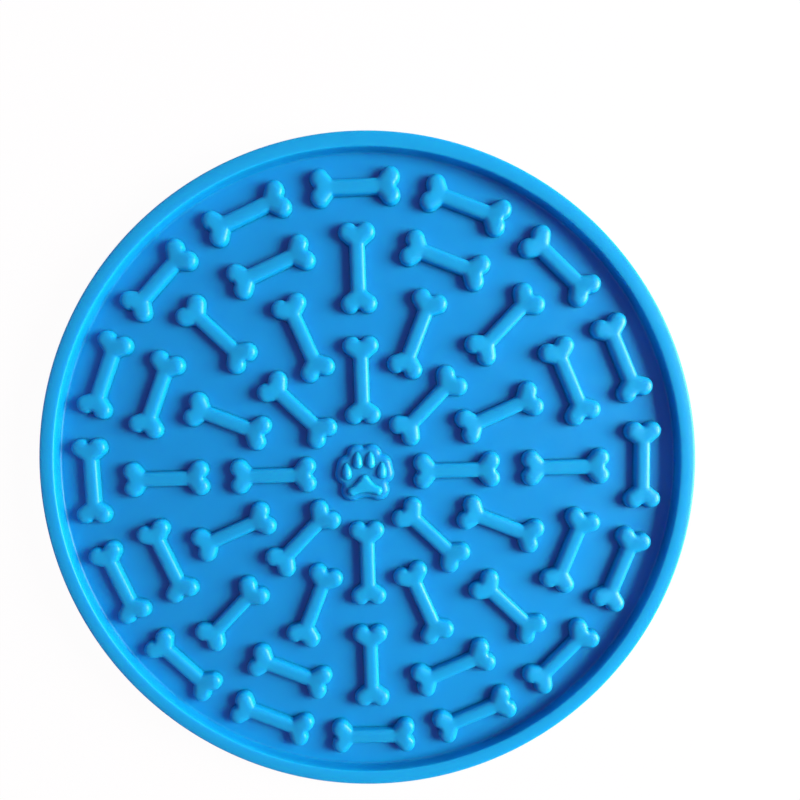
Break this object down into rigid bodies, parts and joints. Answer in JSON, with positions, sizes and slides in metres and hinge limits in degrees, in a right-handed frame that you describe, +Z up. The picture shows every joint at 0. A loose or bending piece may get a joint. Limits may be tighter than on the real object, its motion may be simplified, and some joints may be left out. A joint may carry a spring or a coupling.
{
  "type": "lick mat",
  "caption": "Round silicone lick mat with a raised rim, rings of raised bones round a paw, and suction cups underneath.",
  "frame": {"origin": "middle of the plane in which the lips of the suction cups lie, under the centre of the round mat", "axes": "+Z up, square to the mat; +Y from the heel of the paw towards its toes; +X to the right seen from above"},
  "size_m": [0.2, 0.2, 0.0104],
  "materials": {
    "floor_silicone": "satin moulded silicone",
    "rim_silicone": "satin moulded silicone",
    "bone_silicone": "satin moulded silicone",
    "paw_silicone": "satin moulded silicone",
    "cup_silicone": "satin moulded silicone"
  },
  "bodies": {
    "root": {"mat_floor": "floor_silicone", "rim": "rim_silicone", "paw_base": "paw_silicone", "heel_pad": "paw_silicone", "left_outer_toe": "paw_silicone", "left_inner_toe": "paw_silicone", "right_inner_toe": "paw_silicone", "right_outer_toe": "paw_silicone", "inner_bone_1": "bone_silicone", "inner_bone_2": "bone_silicone", "inner_bone_3": "bone_silicone", "inner_bone_4": "bone_silicone", "inner_bone_5": "bone_silicone", "inner_bone_6": "bone_silicone", "inner_bone_7": "bone_silicone", "inner_bone_8": "bone_silicone", "inner_bone_9": "bone_silicone", "inner_bone_10": "bone_silicone", "inner_bone_11": "bone_silicone", "inner_bone_12": "bone_silicone", "inner_bone_13": "bone_silicone", "inner_bone_14": "bone_silicone", "inner_bone_15": "bone_silicone", "inner_bone_16": "bone_silicone", "middle_bone_1": "bone_silicone", "middle_bone_2": "bone_silicone", "middle_bone_3": "bone_silicone", "middle_bone_4": "bone_silicone", "middle_bone_5": "bone_silicone", "middle_bone_6": "bone_silicone", "middle_bone_7": "bone_silicone", "middle_bone_8": "bone_silicone", "middle_bone_9": "bone_silicone", "middle_bone_10": "bone_silicone", "middle_bone_11": "bone_silicone", "middle_bone_12": "bone_silicone", "middle_bone_13": "bone_silicone", "middle_bone_14": "bone_silicone", "middle_bone_15": "bone_silicone", "middle_bone_16": "bone_silicone", "outer_bone_1": "bone_silicone", "outer_bone_2": "bone_silicone", "outer_bone_3": "bone_silicone", "outer_bone_4": "bone_silicone", "outer_bone_5": "bone_silicone", "outer_bone_6": "bone_silicone", "outer_bone_7": "bone_silicone", "outer_bone_8": "bone_silicone", "outer_bone_9": "bone_silicone", "outer_bone_10": "bone_silicone", "outer_bone_11": "bone_silicone", "outer_bone_12": "bone_silicone", "outer_bone_13": "bone_silicone", "outer_bone_14": "bone_silicone", "outer_bone_15": "bone_silicone", "outer_bone_16": "bone_silicone", "centre_cup": "cup_silicone", "inner_cups": "cup_silicone", "middle_cups": "cup_silicone", "outer_cups": "cup_silicone"}
  },
  "joints": []
}
